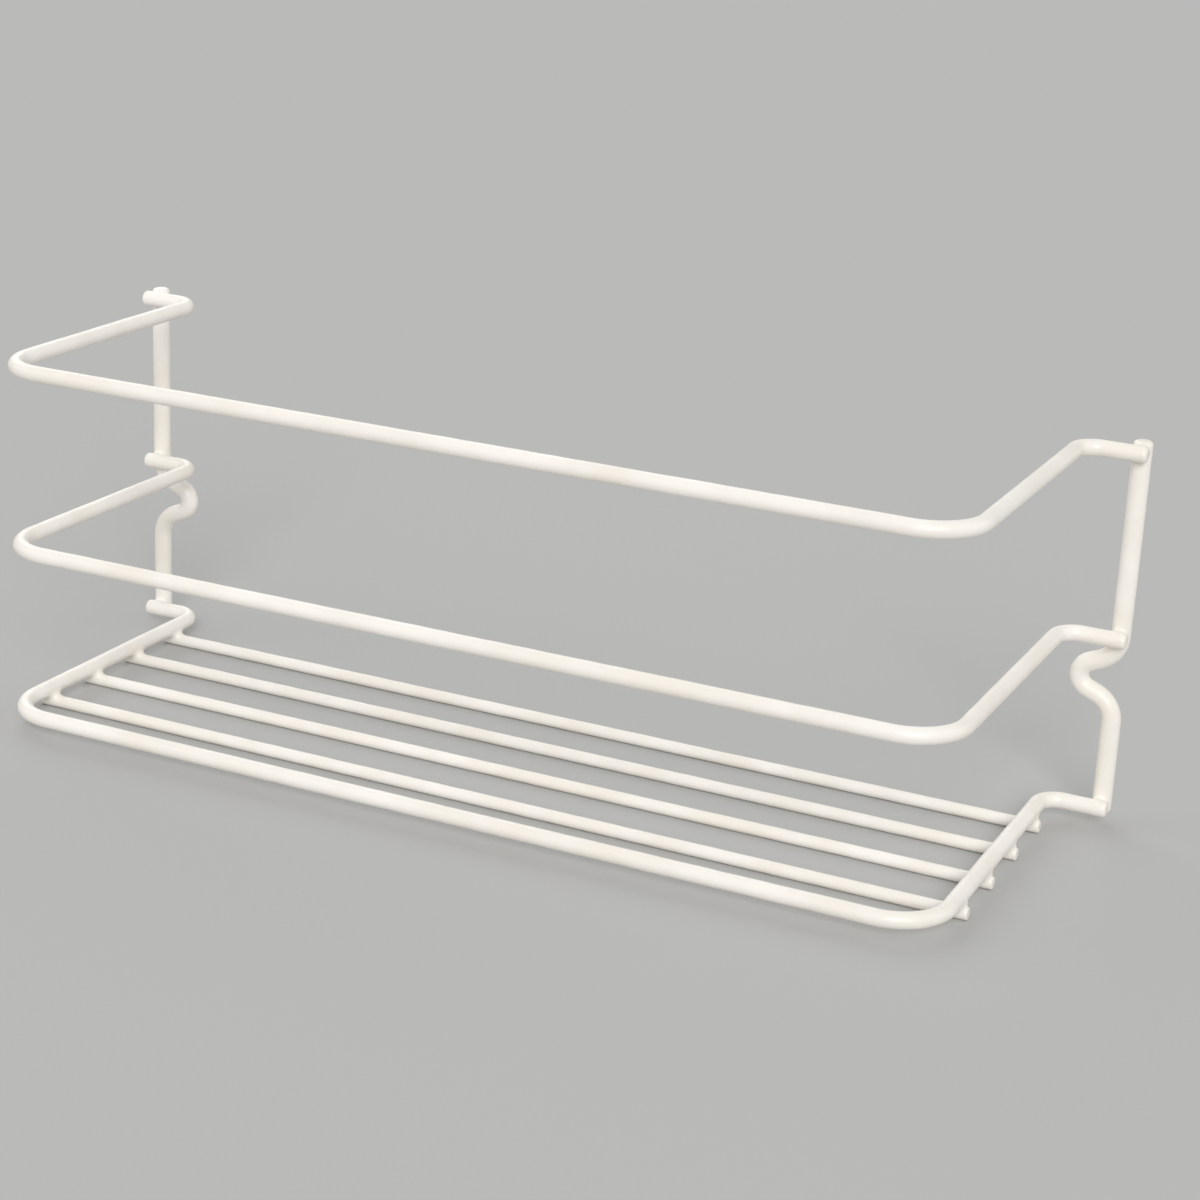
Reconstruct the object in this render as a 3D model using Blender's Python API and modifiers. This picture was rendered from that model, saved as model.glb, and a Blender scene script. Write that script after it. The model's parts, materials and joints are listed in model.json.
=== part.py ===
# Wire rack for the inside of a cabinet door.
# Three bent rails, two posts and four floor wires, welded where they cross.
# Metres, +Z up, +X along the door, the door is on the +Y side, and the rack stands on Z = 0.

import math

import bmesh
import bpy
from mathutils import Vector

# Wire sizes over the coating
RAIL_DIAMETER = 0.0053
POST_DIAMETER = 0.0062
FLOOR_DIAMETER = 0.0041

# Rails, measured between wire centres
SIDE_SPACING = 0.318
FRONT_REACH = 0.111
RACK_HEIGHT = 0.115
MIDDLE_HEIGHT = 0.0558
CORNER_RADIUS = 0.0165
EAR_BEND_RADIUS = 0.007

# Posts, and the pointed loop in each that a door screw passes through
POST_SPACING = 0.353
POST_END_MARGIN = 0.003
LOOP_HEIGHT = 0.0412
LOOP_DEPTH = 0.0116
LOOP_MOUTH = 0.0162
LOOP_TIP_RADIUS = 0.0047
LOOP_MOUTH_RADIUS = 0.009

# Floor wires
FLOOR_WIRE_COUNT = 4
FLOOR_FIRST_SETBACK = 0.0144
FLOOR_PITCH = 0.024
FLOOR_OVERHANG = 0.0036

# Welds: crossing wires are pressed into each other, and the saddle leaves a thin clearance
WELD_SET_DOWN = 0.0004
WELD_CLEARANCE = 0.0003

# Rounded wire ends, as shares of the wire's radius
BENT_END_SHARE = 0.45
FLOOR_END_SHARE = 0.25

# Facets
WIRE_SIDES = 20
BEND_STEP = math.radians(11)
END_SEGMENTS = 3
END_SHARPNESS = math.radians(60)
MERGE_DISTANCE = 0.00001

# Finish: off-white coating, the same on every wire
COATING_COLOUR = (0.83, 0.80, 0.73, 1.0)
COATING_ROUGHNESS = 0.38

# Sizes that follow from the ones above
railRadius = RAIL_DIAMETER / 2
postRadius = POST_DIAMETER / 2
floorRadius = FLOOR_DIAMETER / 2
halfWidth = SIDE_SPACING / 2
postX = POST_SPACING / 2
earEndX = postX + postRadius
postSetback = railRadius + postRadius - WELD_SET_DOWN
frameHeight = floorRadius + floorRadius + railRadius - WELD_SET_DOWN
earY = (FRONT_REACH + railRadius - postSetback - postRadius) / 2
railHeights = {
    "bottom_frame": frameHeight,
    "middle_rail": frameHeight + MIDDLE_HEIGHT,
    "top_rail": frameHeight + RACK_HEIGHT,
}


def clear_scene():
    for obj in list(bpy.data.objects):
        bpy.data.objects.remove(obj, do_unlink=True)


def new_collection(name):
    collection = bpy.data.collections.new(name)
    bpy.context.scene.collection.children.link(collection)
    return collection


def rounded_path(corners, radii):
    """The corners joined by straight runs, with an arc of the given radius at each inner corner."""
    points = [Vector(corners[0])]
    for before, corner, after, radius in zip(corners, corners[1:], corners[2:], radii):
        corner = Vector(corner)
        incoming = (corner - Vector(before)).normalized()
        outgoing = (Vector(after) - corner).normalized()
        turn = incoming.angle(outgoing)
        start = corner - incoming * radius * math.tan(turn / 2)
        inward = (outgoing - incoming * incoming.dot(outgoing)).normalized()
        steps = math.ceil(turn / BEND_STEP)
        for step in range(steps + 1):
            angle = turn * step / steps
            along = incoming * math.sin(angle)
            across = inward * (1 - math.cos(angle))
            points.append(start + (along + across) * radius)
    points.append(Vector(corners[-1]))
    return points


def coating(name):
    """The wire's off-white coating, as a material of its own."""
    material = bpy.data.materials.new(name + "_coating")
    material.use_nodes = True
    shader = material.node_tree.nodes["Principled BSDF"]
    shader.inputs["Base Color"].default_value = COATING_COLOUR
    shader.inputs["Roughness"].default_value = COATING_ROUGHNESS
    shader.inputs["Metallic"].default_value = 0.0
    return material


def bent_wire(name, path, radius, collection):
    """A round wire along the path, as a curve with filled ends."""
    curve = bpy.data.curves.new(name, "CURVE")
    curve.dimensions = "3D"
    curve.bevel_depth = radius
    curve.bevel_resolution = WIRE_SIDES // 2 - 2
    curve.use_fill_caps = True
    spline = curve.splines.new("POLY")
    spline.points.add(len(path) - 1)
    for point, place in zip(spline.points, path):
        point.co = (*place, 1)
    spline.use_smooth = True
    curve.materials.append(coating(name))
    wire = bpy.data.objects.new(name, curve)
    collection.objects.link(wire)
    return wire


def meshed(wire, collection):
    """The same wire as a closed mesh, ready to be cut."""
    bpy.context.view_layer.update()
    graph = bpy.context.evaluated_depsgraph_get()
    mesh = bpy.data.meshes.new_from_object(wire.evaluated_get(graph))
    body = bmesh.new()
    body.from_mesh(mesh)
    bmesh.ops.remove_doubles(body, verts=body.verts, dist=MERGE_DISTANCE)
    body.to_mesh(mesh)
    body.free()
    name = wire.name
    place = wire.matrix_world.copy()
    bpy.data.objects.remove(wire, do_unlink=True)
    solid = bpy.data.objects.new(name, mesh)
    solid.matrix_world = place
    collection.objects.link(solid)
    return solid


def weld_caps(wire):
    weld = wire.modifiers.new("Weld caps", "WELD")
    weld.merge_threshold = MERGE_DISTANCE


def round_ends(wire, width):
    bevel = wire.modifiers.new("Round ends", "BEVEL")
    bevel.width = width
    bevel.segments = END_SEGMENTS
    bevel.limit_method = "ANGLE"
    bevel.angle_limit = END_SHARPNESS


def cut(wire, cutters):
    """A saddle in the wire for each wire that is welded into it."""
    for cutter in cutters:
        saddle = wire.modifiers.new("Saddle " + cutter.name, "BOOLEAN")
        saddle.operation = "DIFFERENCE"
        saddle.object = cutter


def saddle_cutter(name, centre, direction, length, collection):
    """A hidden cylinder round a rail's centre line, wider than the rail by the weld's clearance."""
    mesh = bpy.data.meshes.new(name)
    body = bmesh.new()
    reach = railRadius + WELD_CLEARANCE
    bmesh.ops.create_cone(
        body, cap_ends=True, segments=WIRE_SIDES, radius1=reach, radius2=reach, depth=length
    )
    turn = Vector((0, 0, 1)).rotation_difference(Vector(direction))
    bmesh.ops.rotate(body, verts=body.verts, matrix=turn.to_matrix())
    body.to_mesh(mesh)
    body.free()
    cutter = bpy.data.objects.new(name, mesh)
    cutter.location = centre
    cutter.hide_render = True
    cutter.display_type = "WIRE"
    collection.objects.link(cutter)
    return cutter


def smooth(solid):
    solid.data.shade_smooth()
    solid.data.set_sharp_from_angle(angle=END_SHARPNESS)


def rail(name, collection):
    """Ear, side, front run, side and ear, bent from one wire."""
    corners = [
        (-earEndX, 0, 0),
        (-halfWidth, 0, 0),
        (-halfWidth, -FRONT_REACH, 0),
        (halfWidth, -FRONT_REACH, 0),
        (halfWidth, 0, 0),
        (earEndX, 0, 0),
    ]
    radii = [EAR_BEND_RADIUS, CORNER_RADIUS, CORNER_RADIUS, EAR_BEND_RADIUS]
    wire = bent_wire(name, rounded_path(corners, radii), railRadius, collection)
    wire.location = (0, earY, railHeights[name])
    weld_caps(wire)
    round_ends(wire, railRadius * BENT_END_SHARE)
    return wire


def loop_corners():
    """Half of the loop: its mouth corner and its tip corner, as (depth, height) from the loop's centre.

    The leg runs from the mouth corner and touches the tip's arc, so the tip is one round bend.
    """
    mouth = LOOP_MOUTH / 2
    tipCentre = LOOP_DEPTH - LOOP_TIP_RADIUS
    distance = math.hypot(tipCentre, mouth)
    turn = math.atan2(tipCentre, mouth) + math.asin(LOOP_TIP_RADIUS / distance)
    tip = LOOP_TIP_RADIUS * math.tan(turn / 2)
    return (0, mouth), (LOOP_DEPTH, tip)


def post(name, side, collection):
    """Upright wire behind the ears, with its loop pointing into the rack."""
    (mouthDepth, mouth), (tipDepth, tip) = loop_corners()
    corners = [
        (0, 0, railHeights["top_rail"] + POST_END_MARGIN),
        (-side * mouthDepth, 0, frameHeight + LOOP_HEIGHT + mouth),
        (-side * tipDepth, 0, frameHeight + LOOP_HEIGHT + tip),
        (-side * tipDepth, 0, frameHeight + LOOP_HEIGHT - tip),
        (-side * mouthDepth, 0, frameHeight + LOOP_HEIGHT - mouth),
        (0, 0, frameHeight - POST_END_MARGIN),
    ]
    radii = [LOOP_MOUTH_RADIUS, LOOP_TIP_RADIUS, LOOP_TIP_RADIUS, LOOP_MOUTH_RADIUS]
    wire = bent_wire(name, rounded_path(corners, radii), postRadius, collection)
    wire.location = (side * postX, earY + postSetback, 0)
    return meshed(wire, collection)


def floor_wire(number, collection):
    """Straight wire under the bottom frame's sides, its ends cut off just outside them."""
    reach = halfWidth + FLOOR_OVERHANG
    setback = FLOOR_FIRST_SETBACK + FLOOR_PITCH * (number - 1)
    ends = [Vector((-reach, 0, 0)), Vector((reach, 0, 0))]
    wire = bent_wire(f"floor_wire_{number}", ends, floorRadius, collection)
    wire.location = (0, earY - setback, floorRadius)
    return meshed(wire, collection)


def build():
    clear_scene()
    rack = new_collection("cabinet_rack")
    cutters = new_collection("saddle_cutters")

    earCutters = []
    for name, height in railHeights.items():
        rail(name, rack)
        length = 2 * earEndX + 2 * POST_DIAMETER
        earCutters.append(saddle_cutter("ears_of_" + name, (0, earY, height), (1, 0, 0), length, cutters))

    for name, side in (("left_post", -1), ("right_post", 1)):
        solid = post(name, side, rack)
        round_ends(solid, postRadius * BENT_END_SHARE)
        cut(solid, earCutters)
        smooth(solid)

    sideCutters = []
    for name, side in (("left_side", -1), ("right_side", 1)):
        centre = (side * halfWidth, earY - FRONT_REACH / 2, frameHeight)
        sideCutters.append(saddle_cutter(name, centre, (0, 1, 0), FRONT_REACH, cutters))

    for number in range(1, FLOOR_WIRE_COUNT + 1):
        solid = floor_wire(number, rack)
        round_ends(solid, floorRadius * FLOOR_END_SHARE)
        cut(solid, sideCutters)
        smooth(solid)


build()
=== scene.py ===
import json
import math

import bmesh
import bpy
from mathutils import Euler, Matrix, Vector, kdtree, noise

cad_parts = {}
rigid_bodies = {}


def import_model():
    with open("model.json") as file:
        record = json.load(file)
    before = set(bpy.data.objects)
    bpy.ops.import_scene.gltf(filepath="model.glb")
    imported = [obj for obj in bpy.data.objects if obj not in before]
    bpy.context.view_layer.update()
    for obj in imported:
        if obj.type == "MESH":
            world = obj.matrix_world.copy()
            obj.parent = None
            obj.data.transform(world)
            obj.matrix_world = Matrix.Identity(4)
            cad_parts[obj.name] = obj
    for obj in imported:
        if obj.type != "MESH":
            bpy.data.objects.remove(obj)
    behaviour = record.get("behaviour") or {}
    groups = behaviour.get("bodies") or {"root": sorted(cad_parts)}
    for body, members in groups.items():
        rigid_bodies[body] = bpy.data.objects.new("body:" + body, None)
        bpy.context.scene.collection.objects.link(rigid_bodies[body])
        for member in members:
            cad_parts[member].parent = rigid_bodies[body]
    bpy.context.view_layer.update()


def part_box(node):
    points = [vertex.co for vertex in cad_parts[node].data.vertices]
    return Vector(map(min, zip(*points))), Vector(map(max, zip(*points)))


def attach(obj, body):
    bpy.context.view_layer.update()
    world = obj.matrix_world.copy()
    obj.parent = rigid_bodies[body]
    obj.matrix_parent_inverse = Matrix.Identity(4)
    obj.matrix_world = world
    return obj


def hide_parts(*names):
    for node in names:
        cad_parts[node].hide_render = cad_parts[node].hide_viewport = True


# Rack for the inside of a cabinet door: nine steel wires, welded where they cross,
# then dipped in off-white vinyl, which runs together in every groove beside a weld.
# Metres, +Z up, +X along the door, the door is on the +Y side.

for thing in list(bpy.data.objects):
    bpy.data.objects.remove(thing, do_unlink=True)

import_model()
mm = 0.001
print("packed frame loaded")


# Wire bending

bender = {
    "row": 0.5 * mm,       # wire between two rings of vertices
    "sides": 40,
    "line": 0.2 * mm,      # spacing of the centre line's own points
    "endRow": 1.25,        # length of the row at a cut end, times the rim's rounding
    "rimRows": 6,          # rows round a cut end's rim
}


def startWire(name, radius, place, heading, endRound):
    body = bmesh.new()
    made = bmesh.ops.create_circle(body, segments=bender["sides"], radius=radius)
    turn = Vector((0, 0, 1)).rotation_difference(heading)
    bmesh.ops.rotate(body, verts=made["verts"], matrix=turn.to_matrix())
    bmesh.ops.translate(body, verts=made["verts"], vec=place)
    return {
        "name": name,
        "radius": radius,
        "endRound": endRound,
        "body": body,
        "ring": body.verts[:] + body.edges[:],    # the open end that the next move pulls out
        "ends": [body.edges[:]],
        "straights": [],
        "tip": Vector(place),
        "heading": Vector(heading),
        "centres": [Vector(place)],
        "fills": [],
    }


def openRim(wire):
    return [part for part in wire["ring"] if isinstance(part, bmesh.types.BMEdge)]


def feed(wire, length, rows=0):
    # Pulls out a straight in one long row, which cropEnds later divides into rows. A spin
    # leaves its edges in a varying order and would divide them a little differently each time.
    rims = openRim(wire)
    wire["ring"] = bmesh.ops.duplicate(wire["body"], geom=wire["ring"])["geom"]
    corners = [part for part in wire["ring"] if isinstance(part, bmesh.types.BMVert)]
    bmesh.ops.translate(wire["body"], verts=corners, vec=wire["heading"] * length)
    along = bmesh.ops.bridge_loops(wire["body"], edges=rims + openRim(wire))["edges"]
    wire["straights"].append((along, rows or max(1, round(length / bender["row"]))))
    start = wire["tip"].copy()
    count = max(1, round(length / bender["line"]))
    for n in range(count):
        wire["centres"].append(start + wire["heading"] * length * (n + 1) / count)
    wire["tip"] = start + wire["heading"] * length


def bend(wire, degrees, radius, axis):
    # Turns the wire about the bender's pin, right-handed round the axis
    angle = math.radians(degrees)
    side = axis.cross(wire["heading"]) * math.copysign(1, angle)
    pin = wire["tip"] + side * radius
    rows = max(1, round(abs(angle) * radius / bender["row"]))
    made = bmesh.ops.spin(
        wire["body"], geom=wire["ring"], cent=pin, axis=axis, angle=angle, steps=rows,
    )
    wire["ring"] = made["geom_last"]
    count = max(1, round(abs(angle) * radius / bender["line"]))
    for n in range(count):
        turn = Matrix.Rotation(angle * (n + 1) / count, 3, axis)
        wire["centres"].append(pin + turn @ (wire["tip"] - pin))
    turn = Matrix.Rotation(angle, 3, axis)
    wire["tip"] = pin + turn @ (wire["tip"] - pin)
    wire["heading"] = turn @ wire["heading"]


def settleOrder(body):
    # The operators leave their work in a varying order, on which the Booleans' seams depend
    for number, vert in enumerate(sorted(body.verts, key=lambda vert: vert.co[:])):
        vert.index = number
    body.verts.sort()
    faces = sorted(body.faces, key=lambda face: sorted(vert.index for vert in face.verts))
    for number, face in enumerate(faces):
        face.index = number
    body.faces.sort()


def cropEnds(wire):
    # Divides the straights into rows, closes both cut ends and rounds their rims
    body = wire["body"]
    for along, rows in wire["straights"]:
        if rows > 1:
            bmesh.ops.subdivide_edges(body, edges=along, cuts=rows - 1)
    wire["ends"].append(openRim(wire))
    for rim in wire["ends"]:
        bmesh.ops.contextual_create(body, geom=rim)
    bmesh.ops.recalc_face_normals(body, faces=body.faces)
    bmesh.ops.bevel(
        body, geom=wire["ends"][0] + wire["ends"][1], offset=wire["endRound"],
        segments=bender["rimRows"], profile=0.5,
        affect="EDGES", clamp_overlap=True, material=-1,
    )
    settleOrder(body)


def runWire(wire, moves, axis):
    # A move is a feed's length, or a bend's degrees and radius. The first and last feeds
    # keep one longer row at the cut end, so that its rim can be rounded.
    endRow = wire["endRound"] * bender["endRow"]
    last = len(moves) - 1
    for number, move in enumerate(moves):
        if len(move) == 2:
            bend(wire, move[0], move[1], axis)
            continue
        length = move[0]
        if number == 0:
            feed(wire, endRow, rows=1)
            length -= endRow
        if number == last:
            length -= endRow
        feed(wire, length)
        if number == last:
            feed(wire, endRow, rows=1)
    cropEnds(wire)
    tree = kdtree.KDTree(len(wire["centres"]))
    for number, place in enumerate(wire["centres"]):
        tree.insert(place, number)
    tree.balance()
    wire["tree"] = tree
    return wire


# Rails: ear, side, front run, side and ear

railShape = {
    "sideX": 159.0 * mm,       # side wires' centres from the middle of the rack
    "earBend": 7.0 * mm,
    "frontCorner": 16.5 * mm,
    "endRound": 1.2 * mm,
}


def bendRail(name):
    low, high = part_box(name)
    radius = (high.z - low.z) / 2
    earY = high.y - radius
    frontY = low.y + radius
    ear = high.x - railShape["sideX"] - railShape["earBend"]
    side = earY - frontY - railShape["earBend"] - railShape["frontCorner"]
    front = 2 * (railShape["sideX"] - railShape["frontCorner"])
    start = Vector((low.x, earY, (low.z + high.z) / 2))
    wire = startWire(name, radius, start, Vector((1, 0, 0)), railShape["endRound"])
    moves = [
        (ear,),
        (-90, railShape["earBend"]),
        (side,),
        (90, railShape["frontCorner"]),
        (front,),
        (90, railShape["frontCorner"]),
        (side,),
        (-90, railShape["earBend"]),
        (ear,),
    ]
    return runWire(wire, moves, Vector((0, 0, 1)))


# Posts: upright behind the ears, with a pointed loop for the door screw

loopShape = {
    "centreZ": 47.55 * mm,     # height of the loop's tip over the ground
    "depth": 11.6 * mm,        # how far the tip reaches into the rack, between wire centres
    "mouth": 16.2 * mm,        # between the mouth's two corners, before they are rounded
    "tipBend": 4.7 * mm,
    "mouthBend": 9.0 * mm,
    "endRound": 1.4 * mm,
}


def bendPost(name, side):
    # The two legs touch the tip's bend, so their lean follows from the loop's depth and mouth
    low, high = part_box(name)
    radius = (high.y - low.y) / 2
    postX = (high.x if side > 0 else low.x) - side * radius
    mouth = loopShape["mouth"] / 2
    tipDepth = loopShape["depth"] - loopShape["tipBend"]
    distance = math.hypot(tipDepth, mouth)
    turn = math.atan2(tipDepth, mouth) + math.asin(loopShape["tipBend"] / distance)
    tangent = loopShape["mouthBend"] * math.tan(turn / 2)
    leg = math.sqrt(distance ** 2 - loopShape["tipBend"] ** 2) - tangent
    above = high.z - loopShape["centreZ"] - mouth - tangent
    below = loopShape["centreZ"] - mouth - tangent - low.z
    start = Vector((postX, (low.y + high.y) / 2, high.z))
    wire = startWire(name, radius, start, Vector((0, 0, -1)), loopShape["endRound"])
    lean = math.degrees(turn) * side
    moves = [
        (above,),
        (lean, loopShape["mouthBend"]),
        (leg,),
        (-2 * lean, loopShape["tipBend"]),
        (leg,),
        (lean, loopShape["mouthBend"]),
        (below,),
    ]
    return runWire(wire, moves, Vector((0, 1, 0)))


# Floor wires: straight, cropped just outside the bottom frame

floorShape = {"endRound": 0.5 * mm}


def cutFloorWire(name):
    low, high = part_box(name)
    radius = (high.z - low.z) / 2
    start = Vector((low.x, (low.y + high.y) / 2, low.z + radius))
    wire = startWire(name, radius, start, Vector((1, 0, 0)), floorShape["endRound"])
    return runWire(wire, [(high.x - low.x,)], Vector((0, 0, 1)))


# Vinyl over the welds: it fills the grooves where two wires meet

weldFill = {
    "touch": 0.5 * mm,     # wires whose skins are nearer than this meet
    "reach": 8.0 * mm,     # wire that is looked at on each side of a meeting
    "grain": 0.25 * mm,    # voxels of the fused lump
    "under": 0.07 * mm,    # how deep the fill lies inside the wires away from the groove
    "sides": 8,            # bevel resolution of the lump's wires
    "flow": 0.5,           # strength of a round of smoothing
}
earWeld = {
    "rounds": 220,         # more rounds of smoothing fill the grooves more
    "thinning": 0.041,     # what a round takes off a wire: this times grain squared over radius
    "endLoss": 0.05 * mm,  # and off a cropped end, over all the rounds
}
floorWeld = {
    "rounds": 520,
    "thinning": 0.034,
    "endLoss": 0.45 * mm,
}


def meetings(wire, other):
    # The places along this wire's centre line where it lies on the other
    touching = wire["radius"] + other["radius"] + weldFill["touch"]
    runs = []
    for number, place in enumerate(wire["centres"]):
        if other["tree"].find(place)[2] >= touching:
            continue
        if not runs or number > runs[-1][-1] + 1:
            runs.append([])
        runs[-1].append(number)
    return [wire["centres"][run[len(run) // 2]] for run in runs]


def fillWeld(wire, other, place, weld):
    # The stretches of both wires near the weld are fused and smoothed. They start out thicker,
    # and longer at a cropped end, by what the smoothing takes off them.
    lost = 2 * weld["rounds"] * weld["thinning"] * weldFill["grain"] ** 2
    curve = bpy.data.curves.new("weldFill", "CURVE")
    curve.dimensions = "3D"
    curve.bevel_depth = 1      # so each point's radius is the wire's own
    curve.bevel_resolution = weldFill["sides"]
    curve.use_fill_caps = True
    for each in (wire, other):
        middle = each["tree"].find(place)[0]
        near = [spot for spot in each["centres"] if (spot - middle).length < weldFill["reach"]]
        for end, inner in ((0, 1), (-1, -2)):
            if near[end] == each["centres"][end]:
                near[end] = near[end] + (near[end] - near[inner]).normalized() * weld["endLoss"]
        line = curve.splines.new("POLY")
        line.points.add(len(near) - 1)
        for point, spot in zip(line.points, near):
            point.co = (*spot, 1)
            point.radius = math.sqrt((each["radius"] - weldFill["under"]) ** 2 + lost)
    lump = bpy.data.objects.new("weldFill", curve)
    bpy.context.scene.collection.objects.link(lump)
    skin = lump.modifiers.new("skin", "REMESH")
    skin.mode = "VOXEL"
    skin.voxel_size = weldFill["grain"]
    flow = lump.modifiers.new("flow", "SMOOTH")
    flow.factor = weldFill["flow"]
    flow.iterations = weld["rounds"]
    filled = lump.evaluated_get(bpy.context.evaluated_depsgraph_get())
    body = bmesh.new()
    body.from_mesh(bpy.data.meshes.new_from_object(filled))
    wire["fills"].append(body)
    bpy.data.objects.remove(lump)


# Coating: slow waves where the melt sagged in the oven

coatShape = {
    "sag": 0.13 * mm,
    "sagLength": 6.0 * mm,
}


def coat(body):
    # The waves only go inwards, so that no wire outgrows its CAD piece
    body.normal_update()
    for vert in body.verts:
        sag = noise.noise(vert.co / coatShape["sagLength"]) * 0.5 + 0.5    # 0 to 1
        vert.co -= vert.normal * sag * coatShape["sag"]
    body.normal_update()


def solidOf(body, name):
    mesh = bpy.data.meshes.new(name)
    body.to_mesh(mesh)
    solid = bpy.data.objects.new(name, mesh)
    bpy.context.scene.collection.objects.link(solid)
    return solid


def fuse(wire, others):
    # One closed skin for a wire and its fills, which end where the other wires' skins begin
    solid = solidOf(wire["body"], "wire")
    fills = [solidOf(body, "fill") for body in wire["fills"]]
    steps = [("UNION", fill) for fill in fills] + [("DIFFERENCE", other) for other in others]
    for operation, tool in steps:
        join = solid.modifiers.new("join", "BOOLEAN")
        join.operation = operation
        join.solver = "MANIFOLD"
        join.object = tool
    wire["body"].clear()
    wire["body"].from_object(solid, bpy.context.evaluated_depsgraph_get())
    for thing in fills + [solid]:
        bpy.data.objects.remove(thing)


# Materials

def toLinear(code):
    # sRGB hex value to the linear colour that a node takes
    channels = [int(code[place:place + 2], 16) / 255 for place in (1, 3, 5)]
    return [c / 12.92 if c <= 0.04045 else ((c + 0.055) / 1.055) ** 2.4 for c in channels] + [1]


def addNode(tree, kind, settings=None, links=None):
    node = tree.nodes.new(kind)
    for key, value in (settings or {}).items():
        if isinstance(key, int) or key in node.inputs:
            node.inputs[key].default_value = value
        else:
            setattr(node, key, value)
    for key, source in (links or {}).items():
        tree.links.new(source, node.inputs[key])
    return node


vinyl = {
    "colour": "#F8F4ED",
    "aged": "#F1EBE0",            # where it has yellowed a little
    "toneSize": 26.0 * mm,        # patches of one shade
    "toneDetail": 3.0,
    "toneRoughness": 0.55,
    "toneSpread": (0.35, 0.65),   # noise values that are the fresh and the aged colour
    "sheenSize": 6.0 * mm,        # patches that fused to a little more or less gloss
    "sheenDetail": 1.0,
    "sheenSpread": (0.3, 0.7),
    "roughness": (0.28, 0.42),
    "peelSize": 1.6 * mm,         # orange peel left by the melt
    "peelDetail": 2.0,
    "peelRoughness": 0.4,
    "peelDepth": 0.09 * mm,       # deeper than real, so that it shows from the camera
    "ior": 1.53,
    "crease": 60,                 # degrees; a sharper edge than this shows
}


def dippedVinyl():
    # PVC plastisol, dipped and fused in an oven: opaque, satin, with soft uneven highlights
    material = bpy.data.materials.new("dippedVinyl")
    material.use_nodes = True
    tree = material.node_tree
    tree.nodes.clear()
    place = addNode(tree, "ShaderNodeTexCoord").outputs["Object"]
    tone = addNode(
        tree, "ShaderNodeTexNoise",
        {
            "Scale": 1 / vinyl["toneSize"],
            "Detail": vinyl["toneDetail"],
            "Roughness": vinyl["toneRoughness"],
        },
        {"Vector": place},
    )
    ageing = addNode(
        tree, "ShaderNodeMapRange",
        {"From Min": vinyl["toneSpread"][0], "From Max": vinyl["toneSpread"][1]},
        {"Value": tone.outputs["Fac"]},
    )
    colour = addNode(
        tree, "ShaderNodeMix",
        {"data_type": "RGBA", 6: toLinear(vinyl["colour"]), 7: toLinear(vinyl["aged"])},
        {0: ageing.outputs["Result"]},
    )
    sheen = addNode(
        tree, "ShaderNodeTexNoise",
        {"Scale": 1 / vinyl["sheenSize"], "Detail": vinyl["sheenDetail"]}, {"Vector": place},
    )
    gloss = addNode(
        tree, "ShaderNodeMapRange",
        {
            "From Min": vinyl["sheenSpread"][0], "From Max": vinyl["sheenSpread"][1],
            "To Min": vinyl["roughness"][0], "To Max": vinyl["roughness"][1],
        },
        {"Value": sheen.outputs["Fac"]},
    )
    peel = addNode(
        tree, "ShaderNodeTexNoise",
        {
            "Scale": 1 / vinyl["peelSize"],
            "Detail": vinyl["peelDetail"],
            "Roughness": vinyl["peelRoughness"],
        },
        {"Vector": place},
    )
    skin = addNode(
        tree, "ShaderNodeBump",
        {"Strength": 1.0, "Distance": vinyl["peelDepth"]}, {"Height": peel.outputs["Fac"]},
    )
    shader = addNode(
        tree, "ShaderNodeBsdfPrincipled",
        {"IOR": vinyl["ior"], "Metallic": 0.0},
        {
            "Base Color": colour.outputs[2],
            "Roughness": gloss.outputs["Result"],
            "Normal": skin.outputs["Normal"],
        },
    )
    addNode(tree, "ShaderNodeOutputMaterial", links={"Surface": shader.outputs["BSDF"]})
    return material


def showWire(wire, material):
    mesh = bpy.data.meshes.new(wire["name"] + "_coated")
    wire["body"].to_mesh(mesh)
    wire["body"].free()
    mesh.shade_smooth()
    mesh.set_sharp_from_angle(angle=math.radians(vinyl["crease"]))
    mesh.materials.append(material)
    piece = bpy.data.objects.new(wire["name"] + "_coated", mesh)
    bpy.context.scene.collection.objects.link(piece)
    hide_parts(wire["name"])
    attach(piece, "root")


# Floor of background paper

paper = {
    "size": 12.0,
    "colour": "#BCBCBB",
    "far": "#BABAB9",          # as it looks under the lamps, for what lies beyond the floor
    "roughness": 0.9,
    "toothSize": 0.8 * mm,     # coarser than real paper's, so that it can show
    "toothDepth": 0.02 * mm,
    "toothStrength": 0.2,
}


def paperSweep():
    # Pressed, uncoated paper: matt and plain, with only a trace of tooth
    material = bpy.data.materials.new("backgroundPaper")
    material.use_nodes = True
    tree = material.node_tree
    tree.nodes.clear()
    place = addNode(tree, "ShaderNodeTexCoord").outputs["Object"]
    tooth = addNode(
        tree, "ShaderNodeTexNoise", {"Scale": 1 / paper["toothSize"]}, {"Vector": place},
    )
    bump = addNode(
        tree, "ShaderNodeBump",
        {"Strength": paper["toothStrength"], "Distance": paper["toothDepth"]},
        {"Height": tooth.outputs["Fac"]},
    )
    shader = addNode(
        tree, "ShaderNodeBsdfPrincipled",
        {
            "Base Color": toLinear(paper["colour"]),
            "Roughness": paper["roughness"],
            "Specular IOR Level": 0.0,
        },
        {"Normal": bump.outputs["Normal"]},
    )
    addNode(tree, "ShaderNodeOutputMaterial", links={"Surface": shader.outputs["BSDF"]})
    return material


def setFloor():
    body = bmesh.new()
    bmesh.ops.create_grid(body, x_segments=1, y_segments=1, size=paper["size"] / 2)
    mesh = bpy.data.meshes.new("paperFloor")
    body.to_mesh(mesh)
    body.free()
    mesh.materials.append(paperSweep())
    floor = bpy.data.objects.new("paperFloor", mesh)
    bpy.context.scene.collection.objects.link(floor)


# Light

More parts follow.
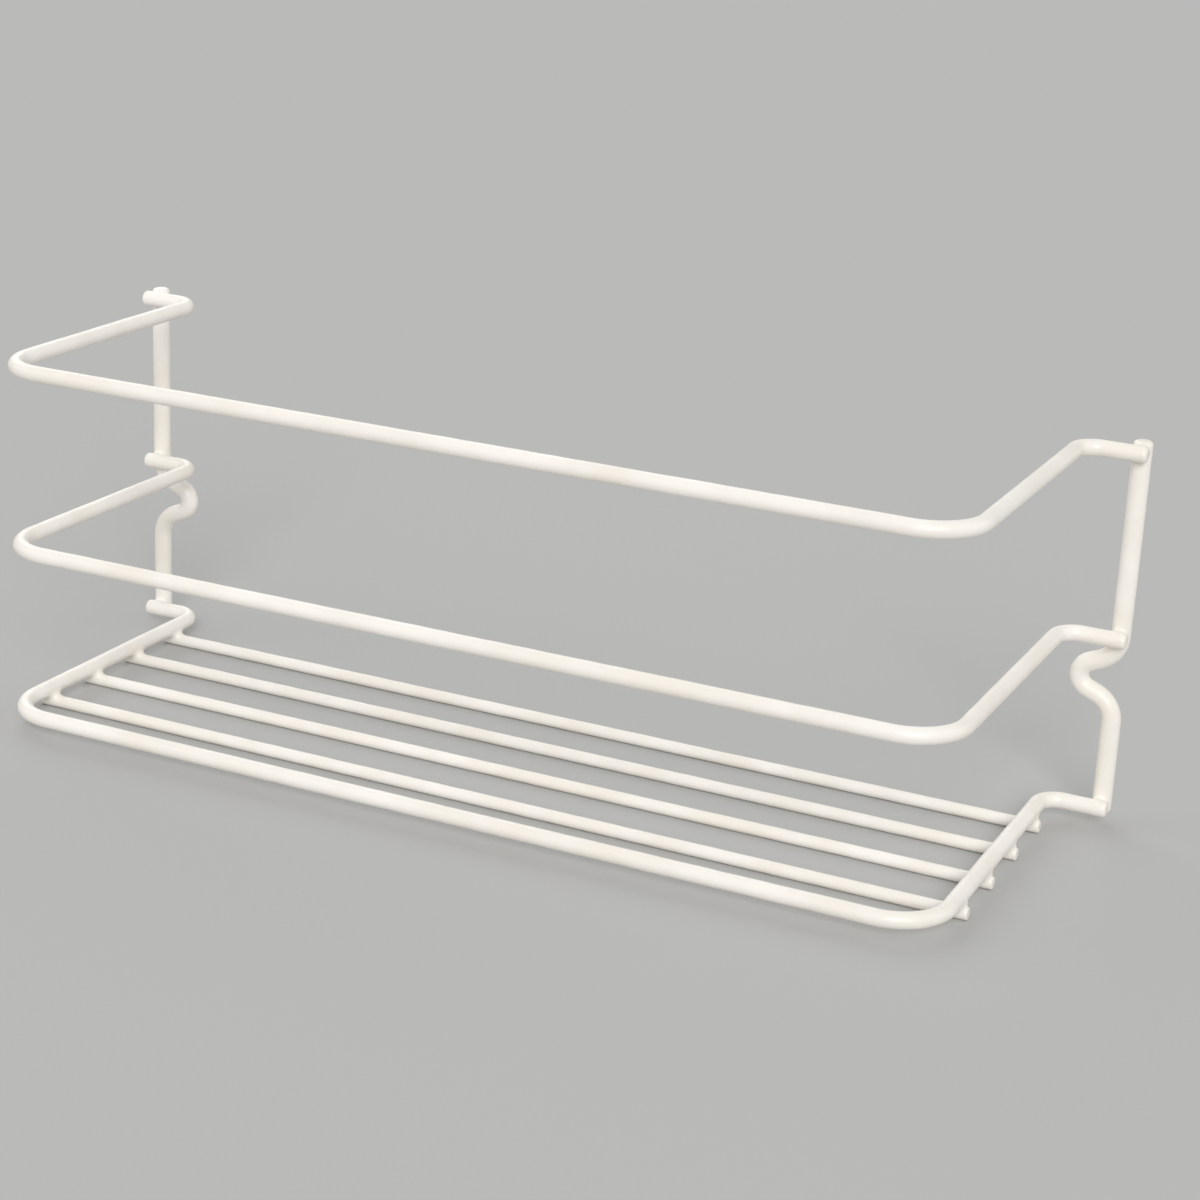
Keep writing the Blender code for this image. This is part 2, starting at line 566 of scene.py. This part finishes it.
studio = {
    "lamps": {             # where the light comes from, how wide it looks in degrees, strength
        "keyLight": ((0.65, -1.25, 0.78), 28, 1.68),
        "fillLight": ((-1.40, -0.50, 0.75), 45, 0.38),
        "backLight": ((-0.90, 1.00, 0.80), 45, 0.70),
        "sideLight": ((1.20, 0.50, 0.50), 45, 0.25),
    },
    "sky": "#FFFFFF",
    "skyStrength": 0.52,
}


def setLight(name, source, width, strength):
    lamp = bpy.data.lights.new(name, "SUN")
    lamp.angle = math.radians(width)
    lamp.energy = strength
    light = bpy.data.objects.new(name, lamp)
    light.location = source
    light.rotation_euler = Vector(source).to_track_quat("Z", "Y").to_euler()
    bpy.context.scene.collection.objects.link(light)


def setWorld():
    world = bpy.data.worlds.new("studioAir")
    bpy.context.scene.world = world
    world.use_nodes = True
    tree = world.node_tree
    tree.nodes.clear()
    air = addNode(
        tree, "ShaderNodeBackground",
        {"Color": toLinear(studio["sky"]), "Strength": studio["skyStrength"]},
    )
    beyond = addNode(
        tree, "ShaderNodeBackground", {"Color": toLinear(paper["far"]), "Strength": 1.0},
    )
    # Beyond the floor the paper's colour is seen, straight on and in reflections
    rays = addNode(tree, "ShaderNodeLightPath")
    seen = rays.outputs["Is Camera Ray"]
    for kind in ("Is Glossy Ray", "Is Transmission Ray"):
        both = addNode(
            tree, "ShaderNodeMath", {"operation": "ADD", "use_clamp": True},
            {0: seen, 1: rays.outputs[kind]},
        )
        seen = both.outputs[0]
    mixed = addNode(
        tree, "ShaderNodeMixShader", links={0: seen, 1: air.outputs[0], 2: beyond.outputs[0]},
    )
    addNode(tree, "ShaderNodeOutputWorld", links={"Surface": mixed.outputs[0]})


# Camera, where the photograph was taken from

photoCamera = {
    "place": (0.34631, -0.7004, 0.32298),
    "turn": (71.2702, -2.6019, 25.446),    # degrees
    "lens": 78.311,                        # mm, as is the sensor
    "sensor": 36.0,
    "clip": (0.01, 50.0),
}


def setCamera():
    camera = bpy.data.objects.new("photoCamera", bpy.data.cameras.new("photoCamera"))
    camera.data.sensor_width = photoCamera["sensor"]
    camera.data.lens = photoCamera["lens"]
    camera.data.clip_start, camera.data.clip_end = photoCamera["clip"]
    camera.location = photoCamera["place"]
    camera.rotation_euler = Euler([math.radians(angle) for angle in photoCamera["turn"]])
    bpy.context.scene.collection.objects.link(camera)
    bpy.context.scene.camera = camera


# The rack

rails = [bendRail(name) for name in ("top_rail", "middle_rail", "bottom_frame")]
bottomFrame = rails[-1]
print("three rails bent")
posts = [bendPost(name, side) for name, side in (("left_post", -1), ("right_post", 1))]
print("two posts bent")
floorWires = [cutFloorWire(f"floor_wire_{number}") for number in range(1, 5)]
print("four floor wires cut")

for post in posts:
    for rail in rails:
        for place in meetings(post, rail):
            fillWeld(post, rail, place, earWeld)
for floorWire in floorWires:
    for place in meetings(floorWire, bottomFrame):
        fillWeld(floorWire, bottomFrame, place, floorWeld)
for wire in rails + posts + floorWires:
    for body in [wire["body"]] + wire["fills"]:
        coat(body)
print("welds filled and coating laid")

railSolids = [solidOf(rail["body"], "rail") for rail in rails]
for wire in posts + floorWires:
    fuse(wire, railSolids)
for solid in railSolids:
    bpy.data.objects.remove(solid)
print("fills joined to their wires")

coating = dippedVinyl()
for wire in rails + posts + floorWires:
    showWire(wire, coating)
print("nine coated wires in place")

setFloor()
for name, (source, width, strength) in studio["lamps"].items():
    setLight(name, source, width, strength)
setWorld()
setCamera()
bpy.context.scene.view_settings.view_transform = "Standard"
print("studio set")
